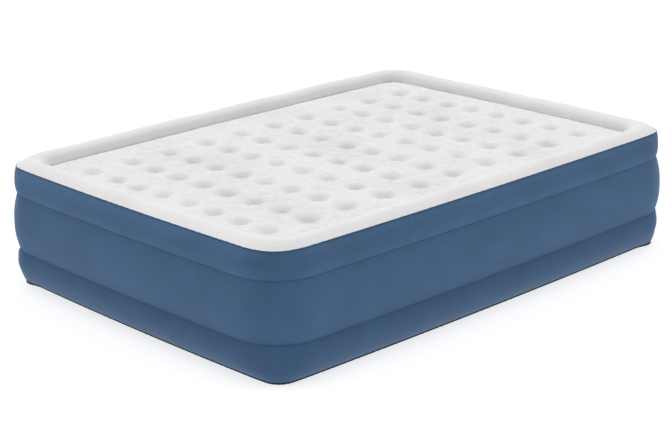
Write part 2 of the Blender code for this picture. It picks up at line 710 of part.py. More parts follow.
def make_outlet_valve():
    """The one-way valve on the back of the tub: a seat with two ears, a pin and a flap that hangs shut."""
    back = -TUB_DEPTH
    pin_y = FAN_AXIS[1] + 0.0345
    pin_out = back - 0.0040
    top, under = back - GAP, back - 0.0036
    profile = ((0.0300, top), (0.0300, under), (PORT_RADIUS, under), (PORT_RADIUS, top))
    seat = turned("outlet_valve_seat", profile, HOUSING, pump, (*FAN_AXIS, 0), 24)
    for side in (-1, 1):
        ear = box(f"seat_ear_{side + 1}", (0.0030, 0.0118, 0.0070), None, pump,
                  (FAN_AXIS[0] + side * 0.0105, pin_y - 0.0024, back - 0.0040), helpers)
        fuse(seat, ear)
    cut_rod(seat, "seat_pin_bore", 0.00125, 0.05, (FAN_AXIS[0], pin_y, pin_out), pump, 10, "X")
    rod("flap_pin", 0.0011, 0.0270, STEEL, pump, (FAN_AXIS[0], pin_y, pin_out), 10, "X")

    hinge = (FAN_AXIS[0], pin_y, pin_out)
    flap = rod("outlet_valve_flap", 0.0260, 0.0016, RUBBER, pump, hinge, 24)
    flap.data.transform(translation(0, FAN_AXIS[1] - pin_y, back - 0.0048 - pin_out))
    arm_place = (FAN_AXIS[0], pin_y - 0.0070, back - 0.0048)
    fuse(flap, box("flap_arm", (0.0160, 0.0150, 0.0016), None, pump, arm_place, helpers))
    fuse(flap, rod("flap_barrel", 0.0022, 0.0160, None, pump, hinge, 12, "X", helpers))
    cut_rod(flap, "flap_bore", 0.00125, 0.03, hinge, pump, 10, "X")


def translation(x, y, z):
    return Matrix.Translation((x, y, z))


# ---------------------------------------------------------------- controls

def make_rocker():
    """The power rocker in its frame. It rests tipped to its off side."""
    x, y = ROCKER_CENTRE
    flange = rounded_outline(0.0190, 0.0250, 0.0018, 2)
    frame = plate("rocker_frame", flange, 0.0003, 0.0016, RUBBER, pump, (x, y, 0))
    fuse(frame, box("frame_body", (0.0150, 0.0210, 0.0170), None, pump, (x, y, -0.0077), helpers))
    cut_box(frame, "frame_pocket", (0.0122, 0.0188, 0.0180), (x, y, 0.0005), pump)
    pivot = Vector((x, y, -0.0022))
    outline = ((0.0086, -0.0042), (0.0086, 0.0050), (0.0, 0.0034), (-0.0086, 0.0050), (-0.0086, -0.0042))
    rocker = plate("power_rocker", outline, -0.0058, 0.0058, LENS, pump, pivot)
    rocker.rotation_euler = (0, -math.pi / 2, 0)
    rocker.data.transform(quarter_turn())
    rocker.rotation_euler = (math.radians(6), 0, 0)


def quarter_turn():
    """Stands an outline drawn in x and y, and extruded along z, so that it runs along y and z."""
    return Matrix(((0, 0, 1, 0), (1, 0, 0, 0), (0, 1, 0, 0), (0, 0, 0, 1)))


def make_buttons():
    for name, x in BUTTONS.items():
        profile = ((0.0, 0.0016), (BUTTON_RADIUS - 0.0010, 0.0016), (BUTTON_RADIUS, 0.0006),
                   (BUTTON_RADIUS, -0.0036), (0.0074, -0.0036), (0.0074, -0.0046),
                   (0.0020, -0.0046), (0.0020, -0.0080), (0.0, -0.0080))
        turned(f"comfort_button_{name}", profile, KNOB, pump, (x, BUTTON_Y, 0), 20, closed=False)
    lens = rounded_outline(0.0358, 0.0038, 0.0018, 3)
    plate("status_lens", lens, -0.0028, 0.0004, LENS, pump, (*LENS_CENTRE, 0))


def make_board():
    """The control board, with one switch under each button."""
    size = (0.0520, 0.0310, 0.0016)
    board = box("control_board", size, BOARD_GREEN, pump, (0.0620, 0.0430, -0.0140))
    for name, x in BUTTONS.items():
        switch = (0.0060, 0.0060, 0.0036)
        fuse(board, box(f"switch_{name}", switch, None, pump, (x, BUTTON_Y, -0.0118), helpers))
    sensor = (0.0120, 0.0100, 0.0060)
    fuse(board, box("sensor_block", sensor, None, pump, (0.0780, 0.0530, -0.0174), helpers))
    return board


# ---------------------------------------------------------------- cord compartment

def make_tray():
    """The compartment that stores the supply cord, and the gland where the cord comes in."""
    x, y = TRAY_CENTRE
    width, height, front, back = 0.0836, 0.0612, -0.0050, -0.0880
    tray = box("cord_tray", (width, height, front - back), HOUSING, pump, (x, y, (front + back) / 2))
    hollow = (width - 0.0028, height - 0.0028, front - back)
    cut_box(tray, "tray_hollow", hollow, (x, y, (front + back) / 2 + 0.0014), pump)
    cut_rod(tray, "gland_hole", 0.0052, 0.02, (x + 0.026, y - 0.014, back), pump, 16)
    profile = (
        (0.0075, back + 0.0044), (0.0075, back + 0.0018), (0.0048, back + 0.0018),
        (0.0048, back - 0.0100), (0.0036, back - 0.0100), (0.0036, back + 0.0044),
    )
    turned("cord_inlet_gland", profile, RUBBER, pump, (x + 0.026, y - 0.014, 0), 16)


def make_door():
    """The compartment's door, hung on a pin along its top edge, with a finger lip at the bottom."""
    x, y = TRAY_CENTRE
    bottom = y - DOOR_OPENING[1] / 2 + 0.0006
    top = DOOR_PIN_Y - 0.0046
    pin = (x, DOOR_PIN_Y, DOOR_PIN_OUT)
    leaf = box("cord_door", (DOOR_OPENING[0] - 0.0014, top - bottom, 0.0022), FASCIA_GREY, pump, pin)
    leaf.data.transform(translation(0, (top + bottom) / 2 - DOOR_PIN_Y, -0.0014 - DOOR_PIN_OUT))
    neck = box("door_neck", (0.0700, 0.0070, 0.0022), None, pump, (x, DOOR_PIN_Y - 0.0030, -0.0014), helpers)
    fuse(leaf, neck)
    fuse(leaf, rod("door_barrel", 0.0021, 0.0700, None, pump, pin, 16, "X", helpers))
    lip = (0.0180, 0.0030, 0.0040)
    fuse(leaf, box("finger_lip", lip, None, pump, (x, bottom + 0.0030, 0.0006), helpers))
    cut_rod(leaf, "door_bore", 0.00088, 0.09, pin, pump, 10, "X")
    rod("cord_door_pin", 0.0008, DOOR_OPENING[0], STEEL, pump, pin, 10, "X")


# ---------------------------------------------------------------- quiet top-up pump

def make_topup_pump():
    """The small diaphragm pump that tops the bed up: a swinging magnet arm works a rubber bellows."""
    x, y, out = 0.055, 0.040, -0.078
    case = box("topup_pump_case", (0.0560, 0.0340, 0.0460), HOUSING, pump, (x, y, out))
    cut_box(case, "case_hollow", (0.0520, 0.0340, 0.0420), (x, y + 0.0020, out), pump)
    fuse(case, rod("arm_post", 0.0020, 0.0310, None, pump, (x + 0.0180, y, out - 0.0120), 12, "Y", helpers))
    coil_profile = ((0.0110, 0.0090), (0.0110, -0.0090), (0.0030, -0.0090), (0.0030, 0.0090))
    turned("topup_coil", coil_profile, COPPER, pump, (x - 0.0130, y + 0.0004, out + 0.0116), 20)
    arm = box("topup_pump_arm", (0.0420, 0.0100, 0.0024), KNOB, pump, (x + 0.0180, y, out - 0.0120))
    arm.data.transform(translation(-0.0205, 0, 0))
    fuse(arm, rod("arm_eye", 0.0042, 0.0100, None, pump, (x + 0.0180, y, out - 0.0120), 16, "Y", helpers))
    cut_rod(arm, "arm_bore", 0.0023, 0.03, (x + 0.0180, y, out - 0.0120), pump, 12, "Y")
    bellows = ((0.0, 0.0110), (0.0070, 0.0110), (0.0090, 0.0080), (0.0070, 0.0050), (0.0090, 0.0020),
               (0.0070, -0.0006), (0.0, -0.0006))
    turned("topup_bellows", bellows, RUBBER, pump, (x + 0.0020, y, out - 0.0090), 16, closed=False)


def make_hose():
    """The hose from the top-up pump out through the back of the tub."""
    curve = bpy.data.curves.new("topup_hose", "CURVE")
    curve.dimensions = "3D"
    curve.bevel_depth = 0.0026
    curve.bevel_resolution = 2
    curve.use_fill_caps = True
    spline = curve.splines.new("POLY")
    start, end, count = -0.1016, -0.1340, 7
    spline.points.add(count - 1)
    for number, spot in enumerate(spline.points):
        share = number / (count - 1)
        sway = 0.0 if number in (0, count - 1) else 0.0004 * math.sin(2 * math.pi * share)
        spot.co = (0.055, 0.040 + sway, start + (end - start) * share, 1)
    add_object("topup_hose", curve, CLEAR_PVC, pump)


make_skin()
make_waist_sheets()
make_coil_rows()
make_beams()
make_tub()
make_collar()
make_fascia()
make_grille()
make_screws()
make_dial()
make_drum()
make_air_path()
make_fan()
make_motor()
make_outlet_valve()
make_rocker()
make_buttons()
make_board()
make_tray()
make_door()
make_topup_pump()
make_hose()
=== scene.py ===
"""Looks of a raised queen-size air bed: flocked skin, dimpled top, comfort rim and built-in pump.

Everything is in metres in the row frame: +X towards the head end, +Y across the bed and +Z up.
"""
import json
import math

import bmesh
import bpy
import numpy as np
from mathutils import Matrix, Vector


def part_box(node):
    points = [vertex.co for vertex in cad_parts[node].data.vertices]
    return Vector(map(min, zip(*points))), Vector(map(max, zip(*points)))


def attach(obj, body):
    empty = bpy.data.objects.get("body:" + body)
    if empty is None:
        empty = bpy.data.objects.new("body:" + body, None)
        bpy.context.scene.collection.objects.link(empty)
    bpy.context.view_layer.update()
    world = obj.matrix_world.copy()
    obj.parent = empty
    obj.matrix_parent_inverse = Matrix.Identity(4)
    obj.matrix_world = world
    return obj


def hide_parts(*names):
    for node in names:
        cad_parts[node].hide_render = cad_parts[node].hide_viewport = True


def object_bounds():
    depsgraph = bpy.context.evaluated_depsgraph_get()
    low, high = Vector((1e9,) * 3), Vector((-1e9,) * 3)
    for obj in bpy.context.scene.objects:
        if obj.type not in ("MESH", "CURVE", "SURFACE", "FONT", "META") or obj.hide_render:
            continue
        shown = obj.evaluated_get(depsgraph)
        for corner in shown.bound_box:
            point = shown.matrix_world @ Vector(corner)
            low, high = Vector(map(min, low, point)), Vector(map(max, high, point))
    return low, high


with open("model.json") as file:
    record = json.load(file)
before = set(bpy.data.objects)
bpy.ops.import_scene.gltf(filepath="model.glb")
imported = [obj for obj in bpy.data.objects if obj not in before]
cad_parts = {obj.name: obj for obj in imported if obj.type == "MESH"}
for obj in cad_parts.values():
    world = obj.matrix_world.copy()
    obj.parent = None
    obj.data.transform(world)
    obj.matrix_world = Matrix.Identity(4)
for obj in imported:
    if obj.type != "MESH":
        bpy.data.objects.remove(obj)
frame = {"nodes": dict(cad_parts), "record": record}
cad_low, cad_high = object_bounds()
NODES = frame["nodes"]
BODY = "mattress"

# ---------------------------------------------------------------- sizes, from the CAD model

HALF_X = (cad_high.x - cad_low.x) / 2
HALF_Y = (cad_high.y - cad_low.y) / 2
CREST_Z = cad_high.z
CORNER_RADIUS = 0.19
TIGHT_RADIUS = 0.10
SIDE_BOW = 0.0155
FLOOR_CORNER_FILL = 0.038
TOP_CORNER_FILL = 0.018
CORNER_FULLNESS = (0.55, 1.15)  # share of the fill at the near and far corners, and at the other two
SKIN = 0.0012


def middle_z(node):
    low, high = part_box(node)
    return (low[2] + high[2]) / 2


def inset_of(node):
    """How far inside the bed's widest outline a CAD loop or sheet reaches."""
    return HALF_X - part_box(node)[1][0]


LOWER_WAIST = (inset_of("lower_waist_sheet"), middle_z("lower_waist_sheet"))
UPPER_WAIST = (inset_of("upper_waist_sheet"), middle_z("upper_waist_sheet"))
WALL_TOP = (inset_of("top_edge_weld") + 0.0011, middle_z("top_edge_weld"))
RIM_FOOT = (inset_of("rim_foot_weld") + 0.0011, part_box("sleep_surface")[1][2])
FLOOR_EDGE = (inset_of("bottom_edge_weld") + 0.0011, 0.0012)
DIMPLE_DEPTH = RIM_FOOT[1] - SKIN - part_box("coil_beam_row_01")[1][2]
DIMPLE_RADIUS = 0.057
COILS_PER_ROW = 8
CREASE_DEPTH, FOLD_HEIGHT, RIPPLE_HEIGHT, SWELL_HEIGHT = 0.0030, 0.0015, 0.00085, 0.0014
TOP_DROP = 0.0035  # how far the top sheet is drawn down inside the rim's foot
TOP_CELL = 0.0081  # of the top sheet's grid
UNDER_CELL = 0.0125  # of the underside's grid
UNDER_RIM = 0.004  # how far the top sheet reaches under the rim
WAIST_LIP = 0.007  # how far a wall band is tucked in at a waist
PANEL_LOW, PANEL_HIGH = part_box("pump_fascia")
PANEL_X = PANEL_HIGH[0] - 0.002
PUMP_Y = (PANEL_LOW[1] + PANEL_HIGH[1]) / 2
PUMP_Z = (PANEL_LOW[2] + PANEL_HIGH[2]) / 2
PANEL_SIZE = (PANEL_HIGH[1] - PANEL_LOW[1], PANEL_HIGH[2] - PANEL_LOW[2])

# ---------------------------------------------------------------- light

DOME_AXIS = (0.69, 0.72, 0)  # from the near corner to the far one
DOME = (0.46, 0.98, 0.46)  # brightness towards the near corner, to the sides and overhead, to the far corner
DOME_SEEN = 1.05  # what the camera sees of the dome
KEY = 1.25
KEY_ANGLE = 16
KEY_FROM = (152, 61)  # azimuth and elevation, in degrees


# ---------------------------------------------------------------- node materials

class Shader:
    """A Principled material with a few helpers for its nodes."""

    def __init__(self, name, roughness=0.6, metallic=0.0):
        self.material = bpy.data.materials.new(name)
        self.material.use_nodes = True
        self.tree = self.material.node_tree
        self.main = self.tree.nodes["Principled BSDF"]
        self.main.inputs["Roughness"].default_value = roughness
        self.main.inputs["Metallic"].default_value = metallic
        self.place = self.tree.nodes.new("ShaderNodeTexCoord").outputs["Object"]

    def link(self, a, b):
        self.tree.links.new(a, b)

    def stretched(self, scale):
        mapping = self.tree.nodes.new("ShaderNodeMapping")
        mapping.inputs["Scale"].default_value = scale
        self.link(self.place, mapping.inputs["Vector"])
        return mapping.outputs["Vector"]

    def noise(self, scale, detail=2.0, roughness=0.5, stretch=None, distortion=0.0):
        made = self.tree.nodes.new("ShaderNodeTexNoise")
        made.inputs["Scale"].default_value = scale
        made.inputs["Detail"].default_value = detail
        made.inputs["Roughness"].default_value = roughness
        made.inputs["Distortion"].default_value = distortion
        self.link(self.stretched(stretch) if stretch else self.place, made.inputs["Vector"])
        return made.outputs["Fac"]

    def ramp(self, value, stops):
        made = self.tree.nodes.new("ShaderNodeValToRGB")
        while len(made.color_ramp.elements) < len(stops):
            made.color_ramp.elements.new(0.5)
        for element, (spot, colour) in zip(made.color_ramp.elements, stops):
            element.position = spot
            element.color = (*colour, 1.0)
        self.link(value, made.inputs["Fac"])
        return made.outputs["Color"]

    def mix(self, share, a, b, kind="MIX"):
        made = self.tree.nodes.new("ShaderNodeMix")
        made.data_type = "RGBA"
        made.blend_type = kind
        for socket, value in ((made.inputs[0], share), (made.inputs[6], a), (made.inputs[7], b)):
            if isinstance(value, bpy.types.NodeSocket):
                self.link(value, socket)
            else:
                socket.default_value = value
        return made.outputs[2]

    def height(self):
        """The height above the floor, for shades that change with it."""
        split = self.tree.nodes.new("ShaderNodeSeparateXYZ")
        self.link(self.place, split.inputs["Vector"])
        return split.outputs["Z"]

    def colour(self, value):
        if isinstance(value, bpy.types.NodeSocket):
            self.link(value, self.main.inputs["Base Color"])
        else:
            self.main.inputs["Base Color"].default_value = (*value, 1.0)

    def rough(self, value, low, high):
        """Roughness that follows a texture between two values."""
        made = self.tree.nodes.new("ShaderNodeMapRange")
        made.inputs["To Min"].default_value = low
        made.inputs["To Max"].default_value = high
        self.link(value, made.inputs["Value"])
        self.link(made.outputs["Result"], self.main.inputs["Roughness"])

    def bump(self, height, distance, strength=1.0, under=None):
        made = self.tree.nodes.new("ShaderNodeBump")
        made.inputs["Distance"].default_value = distance
        made.inputs["Strength"].default_value = strength
        self.link(height, made.inputs["Height"])
        if under:
            self.link(under, made.inputs["Normal"])
        self.link(made.outputs["Normal"], self.main.inputs["Normal"])
        return made.outputs["Normal"]

    def sheen(self, weight, roughness, tint):
        self.main.inputs["Sheen Weight"].default_value = weight
        self.main.inputs["Sheen Roughness"].default_value = roughness
        self.main.inputs["Sheen Tint"].default_value = (*tint, 1.0)

    def specular(self, level):
        self.main.inputs["Specular IOR Level"].default_value = level


def shade(colour, factor):
    return tuple(min(1.0, channel * factor) for channel in colour)


def blue_flock():
    """Blue-grey flock: brushed clouds, a faint nap and short fibres, with painted shade that darkens it
    towards the floor.
    """
    base = (0.056, 0.121, 0.231)
    made = Shader("blue_flock", 0.92)
    cloud = made.noise(5.5, 4.0, 0.55, (1.0, 1.0, 1.6), 0.3)
    clouds = made.ramp(cloud, ((0.32, shade(base, 0.93)), (0.52, base), (0.72, shade(base, 1.06))))
    nap = made.noise(95.0, 3.0, 0.6, (1.0, 1.0, 1.3))
    naps = made.ramp(nap, ((0.3, (0.86, 0.86, 0.86)), (0.7, (1.0, 1.0, 1.0))))
    # painted shade: the colour darkens towards the floor, standing in for shade low on the wall
    near_floor = ((0.0, (0.74, 0.74, 0.75)), (0.13, (0.93, 0.93, 0.93)), (0.19, (1.0, 1.0, 1.0)))
    painted_floor_shade = made.ramp(made.height(), near_floor)
    made.colour(made.mix(1.0, made.mix(0.55, clouds, naps, "MULTIPLY"), painted_floor_shade, "MULTIPLY"))
    made.sheen(0.24, 0.45, (0.62, 0.78, 1.0))
    made.specular(0.18)
    crumple = made.bump(made.noise(26.0, 3.0, 0.5), 0.0016, 0.35)
    made.bump(made.noise(1100.0, 1.0, 0.6), 0.0005, 0.5, crumple)
    return made.material


def white_flock(name, crinkle):
    """White flock. On the sleep surface it is crinkled along the bed's short side and painted with shade
    that darkens the dimples.
    """
    base = (0.782, 0.782, 0.782)
    made = Shader(name, 0.94)
    cloud = made.noise(4.5, 3.0, 0.5)
    clouds = made.ramp(cloud, ((0.3, shade(base, 0.965)), (0.7, shade(base, 1.02))))
    streak = made.noise(1.0, 3.0, 0.6, (190.0, 46.0, 190.0))
    streaks = made.ramp(streak, ((0.30, (0.90, 0.90, 0.90)), (0.62, (1.0, 1.0, 1.0))))
    pile = made.mix(0.6, clouds, streaks, "MULTIPLY")
    if crinkle:
        # painted shade: the colour darkens with depth in the dimples, standing in for shade in the recesses
        depth = made.tree.nodes.new("ShaderNodeMapRange")
        depth.inputs["From Min"].default_value = RIM_FOOT[1] - DIMPLE_DEPTH
        depth.inputs["From Max"].default_value = RIM_FOOT[1] - TOP_DROP
        made.link(made.height(), depth.inputs["Value"])
        in_dimple = ((0.0, (0.76, 0.76, 0.77)), (0.5, (0.91, 0.91, 0.91)), (1.0, (1.0, 1.0, 1.0)))
        painted_dimple_shade = made.ramp(depth.outputs["Result"], in_dimple)
        pile = made.mix(1.0, pile, painted_dimple_shade, "MULTIPLY")
    made.colour(pile)
    made.sheen(0.10, 0.5, (1.0, 1.0, 1.0))
    made.specular(0.15)
    if crinkle:
        folds = made.noise(1.0, 2.0, 0.55, (62.0, 17.0, 30.0), 0.6)
        under = made.bump(folds, 0.0062, crinkle)
    else:
        under = made.bump(made.noise(1.0, 2.0, 0.5, (24.0, 24.0, 130.0)), 0.0012, 0.35)
    made.bump(made.noise(900.0, 1.0, 0.6), 0.0005, 0.4, under)
    return made.material


def sheet_plastic(name, base, roughness):
    """Calendered sheet with a fine embossed grain."""
    made = Shader(name, roughness)
    cloud = made.noise(9.0, 3.0)
    made.colour(made.ramp(cloud, ((0.3, shade(base, 0.85)), (0.7, shade(base, 1.15)))))
    made.rough(cloud, roughness - 0.08, roughness + 0.08)
    made.bump(made.noise(420.0, 2.0), 0.0004, 0.5)
    return made.material


def moulded(name, base, roughness, grain=0.35):
    """Moulded plastic with spark-eroded texture, slight shade drift and handled patches."""
    made = Shader(name, roughness)
    drift = made.noise(14.0, 3.0)
    made.colour(made.ramp(drift, ((0.25, shade(base, 0.90)), (0.75, shade(base, 1.10)))))
    made.rough(made.noise(38.0, 4.0), roughness - 0.09, roughness + 0.10)
    made.bump(made.noise(1500.0, 2.0), 0.00025, grain)
    made.specular(0.45)
    return made.material


def turned_metal(name, base, roughness):
    made = Shader(name, roughness, 1.0)
    lines = made.noise(1.0, 3.0, 0.6, (60.0, 1400.0, 1400.0))
    made.colour(made.ramp(lines, ((0.2, shade(base, 0.85)), (0.8, shade(base, 1.12)))))
    made.rough(lines, roughness - 0.08, roughness + 0.12)
    made.bump(lines, 0.0001, 0.4)
    return made.material


def circuit_board():
    made = Shader("circuit_board", 0.42)
    tracks = made.tree.nodes.new("ShaderNodeTexBrick")
    tracks.inputs["Scale"].default_value = 260.0
    tracks.inputs["Color1"].default_value = (0.012, 0.12, 0.05, 1.0)
    tracks.inputs["Color2"].default_value = (0.02, 0.17, 0.07, 1.0)
    tracks.inputs["Mortar"].default_value = (0.08, 0.30, 0.12, 1.0)
    made.link(made.place, tracks.inputs["Vector"])
    made.colour(tracks.outputs["Color"])
    made.bump(tracks.outputs["Fac"], 0.0001, 0.4)
    return made.material


def copper():
    made = Shader("copper_coil", 0.32, 1.0)
    wave = made.tree.nodes.new("ShaderNodeTexWave")
    wave.bands_direction = "X"
    wave.inputs["Scale"].default_value = 420.0
    made.link(made.place, wave.inputs["Vector"])
    made.colour(made.ramp(wave.outputs["Fac"], ((0.1, (0.35, 0.13, 0.05)), (0.6, (0.85, 0.38, 0.18)))))
    made.bump(wave.outputs["Fac"], 0.0003, 0.8)
    return made.material


LOOKS = {
    "white_flock": white_flock("white_flock", 0.0),
    "blue_flock": blue_flock(),
    "navy_pvc": sheet_plastic("navy_pvc", (0.022, 0.040, 0.072), 0.55),
    "inner_pvc": sheet_plastic("inner_pvc", (0.60, 0.63, 0.66), 0.38),
    "housing_plastic": moulded("housing_plastic", (0.030, 0.034, 0.042), 0.50),
    "fascia_plastic": moulded("fascia_plastic", (0.060, 0.070, 0.086), 0.42),
    "knob_plastic": moulded("knob_plastic", (0.56, 0.58, 0.61), 0.36, 0.2),
    "lens_plastic": moulded("lens_plastic", (0.10, 0.34, 0.62), 0.18, 0.05),
    "black_rubber": moulded("black_rubber", (0.014, 0.014, 0.015), 0.72),
    "steel": turned_metal("steel", (0.60, 0.61, 0.63), 0.27),
    "motor_steel": turned_metal("motor_steel", (0.44, 0.45, 0.47), 0.36),
    "circuit_board": circuit_board(),
    "copper_coil": copper(),
}
CRINKLED = white_flock("white_flock_crinkled", 0.75)

SLOT_OF = {row["node"]: row["material_slot"] for row in frame["record"]["subparts"]}
for node_name, node in NODES.items():
    node.data.materials.clear()
    node.data.materials.append(LOOKS[SLOT_OF[node_name]])

SHARP_EDGED = ("housing_plastic", "fascia_plastic", "knob_plastic", "lens_plastic", "steel", "motor_steel")
EDGE_ROUND = 0.0006


def round_edges():
    """Rounds the edges of the moulded and metal CAD parts a little, and less on thin ones."""
    for name, part in NODES.items():
        if SLOT_OF[name] not in SHARP_EDGED:
            continue
        low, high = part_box(name)
        edge = part.modifiers.new("moulded edge", "BEVEL")
        edge.width = min(EDGE_ROUND, 0.12 * min(b - a for a, b in zip(low, high)))
        edge.segments = 3
        edge.angle_limit = math.radians(40)
        edge.harden_normals = True


round_edges()


# ---------------------------------------------------------------- mesh tools

def add(name, mesh, look, body, replaces):
    """A piece in the scene that rides a body and stands for CAD nodes. Without a body, it rides later."""
    made = bpy.data.objects.new(name, mesh)
    bpy.context.scene.collection.objects.link(made)
    mesh.materials.append(look)
    if replaces:
        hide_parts(*replaces)
    if body:
        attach(made, body)
    return made


def soften(made, degrees):
    made.data.shade_smooth()
    made.data.set_sharp_from_angle(angle=math.radians(degrees))
    return made


def solid_mesh(name, points, faces):
    mesh = bpy.data.meshes.new(name)
    mesh.from_pydata([tuple(p) for p in points], [], [tuple(f) for f in faces])
    mesh.update()
    return mesh


def waves(share, around, count, seed, lean=0.0, other=0.0):
    """An even random ripple of about unit size that repeats as share goes from 0 to 1."""
    draw = np.random.RandomState(seed)
    total = np.zeros(np.broadcast(share, other).shape)
    for _ in range(count):
        turns = max(1, int(round(around * draw.uniform(0.65, 1.45))))
        phase = draw.uniform(0, 2 * math.pi)
        slope = draw.uniform(-lean, lean)
        total = total + np.cos(2 * math.pi * turns * share + phase + slope * other)
    return total * math.sqrt(2.0 / count)


def field(x, y, length_x, length_y, count, seed):
    """A smooth random field of about unit size, with ripples of the given lengths."""
    draw = np.random.RandomState(seed)
    total = np.zeros_like(x)
    for _ in range(count):
        angle = draw.uniform(0, math.pi)
        size = draw.uniform(0.7, 1.35)
        u = size * math.cos(angle) / length_x
        v = size * math.sin(angle) / length_y
        total += np.cos(2 * math.pi * (u * x + v * y) + draw.uniform(0, 2 * math.pi))
    return total * math.sqrt(2.0 / count)


def outline(spacing, corner_steps):
    """Points and outward normals round the bed's widest outline, anticlockwise."""
    far_x, far_y = HALF_X - CORNER_RADIUS, HALF_Y - CORNER_RADIUS
    centres = ((far_x, far_y), (-far_x, far_y), (-far_x, -far_y), (far_x, -far_y))
    points, normals = [], []
    for turn, centre in enumerate(centres):
        for step in range(corner_steps + 1):
            angle = math.pi / 2 * (turn + step / corner_steps)
            normal = np.array((math.cos(angle), math.sin(angle)))
            points.append(np.array(centre) + CORNER_RADIUS * normal)
            normals.append(normal)
        after = np.array(centres[(turn + 1) % 4]) + CORNER_RADIUS * normals[-1]
        steps = int(round(np.linalg.norm(after - points[-1]) / spacing))
        start, normal = points[-1], normals[-1]
        for step in range(1, steps):
            points.append(start + (after - start) * step / steps)
            normals.append(normal)
    return np.array(points), np.array(normals)


def corner_share(normals):
    """How much of its corner's fill each point takes: 1 on the diagonal, 0 along a side."""
    cut = CORNER_RADIUS - TIGHT_RADIUS
    far, near = np.abs(normals).max(axis=1), np.abs(normals).min(axis=1)
    reach = CORNER_RADIUS / far
    rounded = cut * (far + near) + np.sqrt(TIGHT_RADIUS**2 - (cut * (far - near)) ** 2)
    reach = np.where(near * reach > cut, rounded, reach)
    return (reach - CORNER_RADIUS) / (cut * (math.sqrt(2) - 1))


POINTS, NORMALS = outline(0.0115, 26)
STEP = np.linalg.norm(np.roll(POINTS, -1, axis=0) - POINTS, axis=1)
ALONG = np.concatenate(([0.0], np.cumsum(STEP)[:-1])) / STEP.sum()
CORNER = corner_share(NORMALS) * np.where(NORMALS[:, 0] * NORMALS[:, 1] > 0, *CORNER_FULLNESS)
BOWED = SIDE_BOW * (
    (POINTS[:, 0] / HALF_X) ** 2 * NORMALS[:, 1] ** 2 + (POINTS[:, 1] / HALF_Y) ** 2 * NORMALS[:, 0] ** 2
)


def ring(inset, height, fill=0.0):
    """One loop of points round the bed. Inset and height may change round it; fill fills its corners."""
    flat = POINTS - NORMALS * (inset + BOWED - fill * CORNER)[:, None]
    return np.column_stack((flat, np.broadcast_to(height, len(flat))))


def loop_mesh(name, rings, closed=False):
    """A skin through loops of points. A closed one joins its last loop to its first."""
    rings = np.array(rings)
    rows, count = rings.shape[:2]
    faces = []
    for row in range(rows if closed else rows - 1):
        low, high = row * count, (row + 1) % rows * count
        for i in range(count):
            after = (i + 1) % count
            faces.append((low + i, low + after, high + after, high + i))
    return solid_mesh(name, rings.reshape(-1, 3), faces)


def give_skin(made):
    thick = made.modifiers.new("skin", "SOLIDIFY")
    thick.thickness = SKIN
    thick.offset = -1
    return made


# ---------------------------------------------------------------- side wall

def flat_for_pump(rings, shares):
    """Draws the head-end wall flat round the pump."""
    for loop, share in zip(rings, shares):
        reach = np.abs(loop[:, 1] - PUMP_Y) / (PANEL_SIZE[0] / 2)
        side = np.clip((1.45 - reach) / 0.32, 0, 1)
        rise = np.clip(min(share, 1 - share) / 0.085, 0, 1)
        weight = side**2 * (3 - 2 * side) * rise**2 * (3 - 2 * rise) * (loop[:, 0] > 0)
        loop[:, 0] += (PANEL_X - loop[:, 0]) * weight
    return rings


def no_fill(_share):
    return 0.0


def floor_fill(share):
    return FLOOR_CORNER_FILL * (1 - share) * (1 - 2.4 * share)


def top_fill(share):
    return TOP_CORNER_FILL * share * (1 - 1.33 * (1 - share))


def band(name, low, high, bulge, seed, node, steps, lip, fill=no_fill, pump=False):
    """A bulging band of skin between two welds, puckered along both."""
    even = np.linspace(0, 1, steps + 1)
    shares = even - 0.55 * np.sin(2 * math.pi * even) / (2 * math.pi)
    gap = 0.0005
    span = high[1] - low[1] - 2 * gap
    tucked_low = ring(low[0] + lip[0], low[1] + gap, fill(0))
    tucked_high = ring(high[0] + lip[1], high[1] - gap, fill(1))
    rings = []
    for share in shares:
        near = min(share, 1 - share) * span
        inset = low[0] + (high[0] - low[0]) * share - bulge * (1 - abs(2 * share - 1) ** 2.3)
        pucker = waves(ALONG, 230, 9, seed, 3.0, share) * (0.00045 + 0.0009 * CORNER)
        pucker = pucker * math.exp(-near / 0.022) * (1 - math.exp(-near / 0.004))
        sway = waves(ALONG, 19, 7, seed + 1, 2.5, share) * 0.0009 * (1 - abs(2 * share - 1))
        rings.append(ring(inset - pucker - sway, low[1] + gap + span * share, fill(share)))
    if pump:
        rings = flat_for_pump(rings, shares)
    mesh = loop_mesh(name, [tucked_low, *rings, tucked_high])
    made = add(name, mesh, LOOKS["blue_flock"], None, (node,))
    return soften(give_skin(made), 35)


def rounded_outline(width, height, radius, steps=8):
    points = []
    for turn in range(4):
        sign_x = 1 if turn in (0, 3) else -1
        sign_y = 1 if turn in (0, 1) else -1
        for step in range(steps + 1):
            angle = math.pi / 2 * (turn + step / steps)
            points.append((
                sign_x * (width / 2 - radius) + radius * math.cos(angle),
                sign_y * (height / 2 - radius) + radius * math.sin(angle),
            ))
    return points


def cutter_for_pump():
    """A prism through the wall, the shape of the fascia with a small gap round it."""
    bm = bmesh.new()
    shape = rounded_outline(PANEL_SIZE[0] + 0.0016, PANEL_SIZE[1] + 0.0016, 0.0128)
    low = [bm.verts.new((PANEL_X - 0.04, PUMP_Y + x, PUMP_Z + y)) for x, y in shape]
    high = [bm.verts.new((PANEL_X + 0.04, PUMP_Y + x, PUMP_Z + y)) for x, y in shape]
    bm.faces.new(low)
    bm.faces.new(high)
    for i in range(len(shape)):
        after = (i + 1) % len(shape)
        bm.faces.new((low[i], low[after], high[after], high[i]))
    bmesh.ops.recalc_face_normals(bm, faces=bm.faces)
    mesh = bpy.data.meshes.new("pump_opening")
    bm.to_mesh(mesh)
    bm.free()
    made = bpy.data.objects.new("pump_opening", mesh)
    bpy.context.scene.collection.objects.link(made)
    return made


